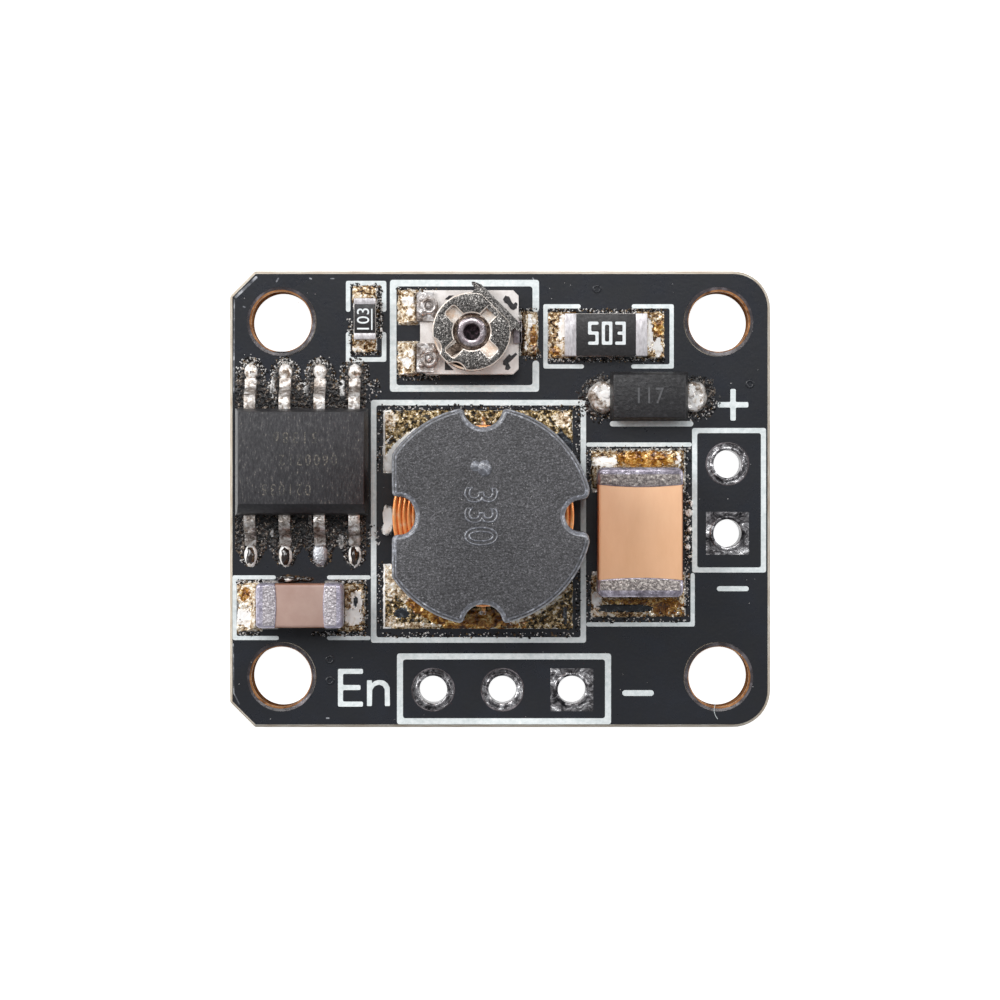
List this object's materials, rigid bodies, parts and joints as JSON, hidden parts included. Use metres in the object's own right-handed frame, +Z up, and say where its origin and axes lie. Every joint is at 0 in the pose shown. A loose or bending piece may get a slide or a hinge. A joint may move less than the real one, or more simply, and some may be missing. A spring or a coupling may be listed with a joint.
{
  "type": "high voltage boost converter module",
  "caption": "Small black circuit board that raises a supply voltage, with a drum coil, a trimmer and pin holes along two edges.",
  "frame": {"origin": "middle of the board's outline on its underside", "axes": "+X along the board towards the high voltage pins, +Y across it away from the input pins, +Z up out of the face with the parts"},
  "size_m": [0.0198, 0.0168, 0.0065],
  "materials": {
    "black_glass_coat": "black glassy coat",
    "black_mould": "matte black moulding compound",
    "black_track": "matte black resistive print",
    "brown_ceramic": "matte pinkish brown ceramic",
    "enamelled_copper": "enamelled copper wire",
    "ferrite": "matte grey ferrite",
    "laminate": "matte glass and resin laminate",
    "nickel_sheet": "satin nickel plated sheet",
    "solder": "bright solder",
    "solder_mask": "satin black solder mask",
    "tan_ceramic": "matte tan ceramic",
    "tinned_cap": "grainy tinned metal",
    "tinned_copper": "bright tinned copper",
    "tinned_lead": "tinned metal sheet",
    "white_ceramic": "matte white ceramic",
    "white_print": "matte white print"
  },
  "bodies": {
    "board": {"bottom_solder_mask": "solder_mask", "component_lands": "tinned_copper", "controller_body": "black_mould", "controller_leads": "tinned_lead", "controller_solder": "solder", "diode_body": "black_mould", "diode_solder": "solder", "diode_terminals": "tinned_lead", "feedback_resistor_chip": "white_ceramic", "feedback_resistor_coat": "black_glass_coat", "feedback_resistor_end_caps": "tinned_cap", "feedback_resistor_solder": "solder", "high_voltage_pin_platings": "tinned_copper", "inductor_core": "ferrite", "inductor_solder": "solder", "inductor_terminals": "tinned_copper", "inductor_winding": "enamelled_copper", "inductor_wire_ends": "enamelled_copper", "input_capacitor_body": "brown_ceramic", "input_capacitor_end_caps": "tinned_cap", "input_capacitor_solder": "solder", "input_pin_platings": "tinned_copper", "laminate_board": "laminate", "legend_frames": "white_print", "output_capacitor_body": "tan_ceramic", "output_capacitor_end_caps": "tinned_cap", "output_capacitor_solder": "solder", "series_resistor_chip": "white_ceramic", "series_resistor_coat": "black_glass_coat", "series_resistor_end_caps": "tinned_cap", "series_resistor_solder": "solder", "top_solder_mask": "solder_mask", "trimmer_base": "white_ceramic", "trimmer_end_terminals": "tinned_lead", "trimmer_solder": "solder", "trimmer_track": "black_track", "trimmer_wiper_terminal": "tinned_lead"},
    "rotor": {"trimmer_rotor": "nickel_sheet"}
  },
  "joints": [
    {"name": "trimmer_turn", "type": "hinge", "parent": "board", "child": "rotor", "pos_m": [-0.00103, 0.00608, 0.0026], "axis": [0, 0, 1], "range_deg": [-5, 255]}
  ]
}
